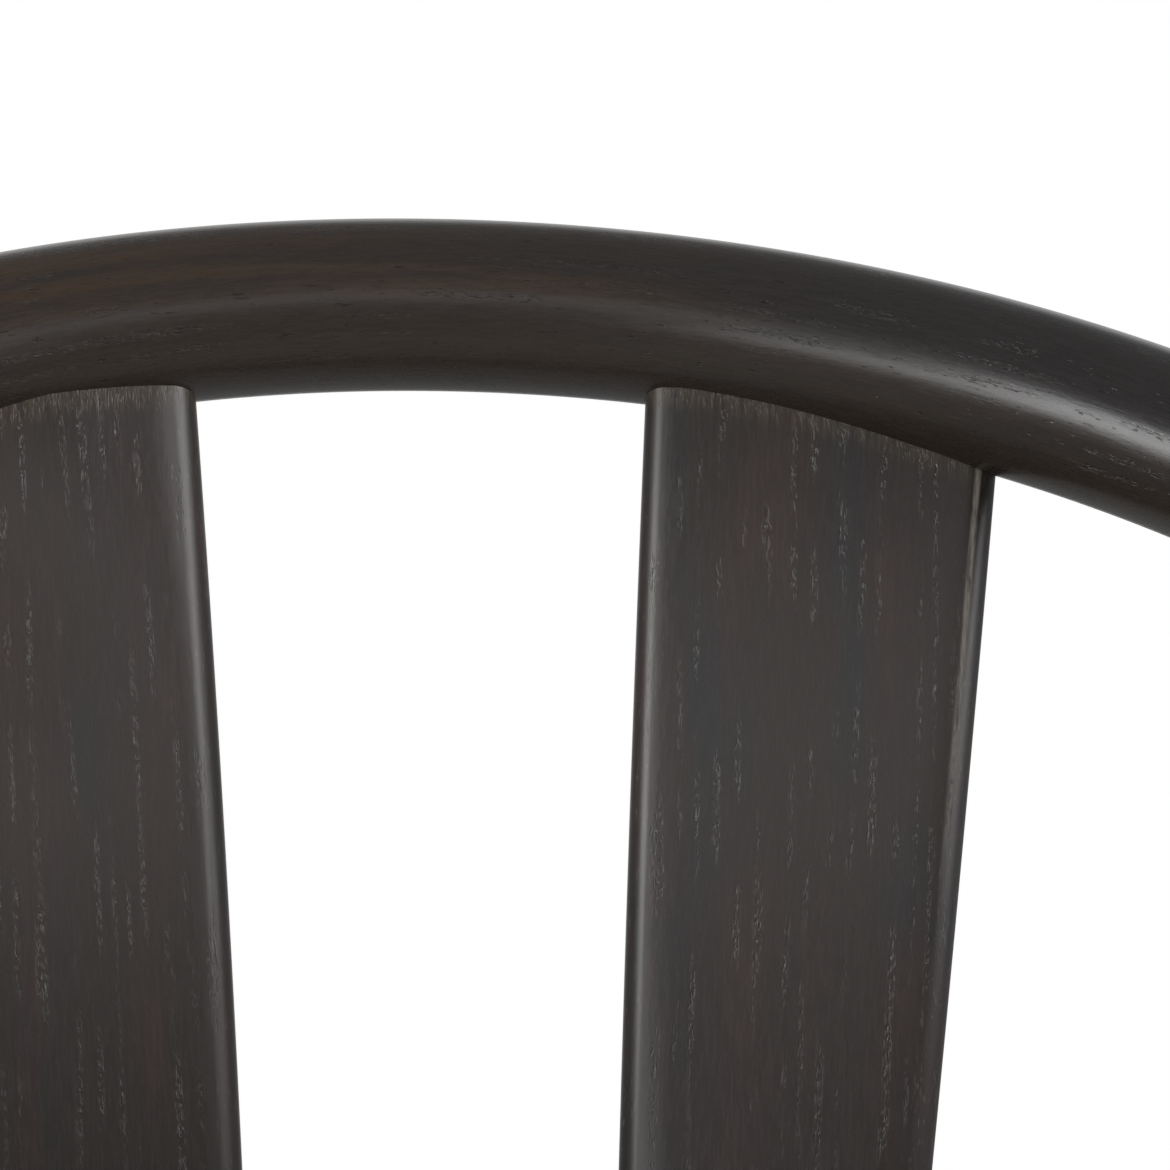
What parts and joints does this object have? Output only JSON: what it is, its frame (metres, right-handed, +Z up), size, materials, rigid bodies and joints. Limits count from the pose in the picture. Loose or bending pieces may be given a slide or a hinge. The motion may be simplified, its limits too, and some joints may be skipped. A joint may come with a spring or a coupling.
{
  "type": "dining chair",
  "caption": "Round-backed dining chair with a bent wooden hoop rail running into short arms, wide flat back slats, turned legs and an upholstered seat pad.",
  "frame": {"origin": "on the floor, under the middle of the chair's bounding box", "axes": "+Z up, the sitter faces -Y, +X to the right of someone looking at the chair's front"},
  "size_m": [0.5156, 0.5249, 0.802],
  "materials": {
    "stained_wood": "satin dark brown stain over open grain",
    "plain_wood": "bare",
    "plywood": "bare plywood",
    "foam": "open-cell foam",
    "seat_fabric": "woven upholstery",
    "dust_cloth": "thin non-woven cloth",
    "steel": "zinc plated",
    "glide_plastic": "matte"
  },
  "bodies": {
    "root": {"crest_rail": "stained_wood", "left_slat": "stained_wood", "right_slat": "stained_wood", "rear_leg_left": "stained_wood", "rear_leg_right": "stained_wood", "front_leg_left": "stained_wood", "front_leg_right": "stained_wood", "front_seat_rail": "stained_wood", "rear_seat_rail": "stained_wood", "left_seat_rail": "stained_wood", "right_seat_rail": "stained_wood", "frame_dowels": "plain_wood", "front_left_block": "plain_wood", "front_right_block": "plain_wood", "rear_left_block": "plain_wood", "rear_right_block": "plain_wood", "rear_cleat": "plain_wood", "wood_screws": "steel", "seat_bolts": "steel", "bolt_washers": "steel", "tee_nuts": "steel", "seat_board": "plywood", "seat_foam": "foam", "seat_cover": "seat_fabric", "dust_cover": "dust_cloth", "foot_glides": "glide_plastic"}
  },
  "joints": []
}
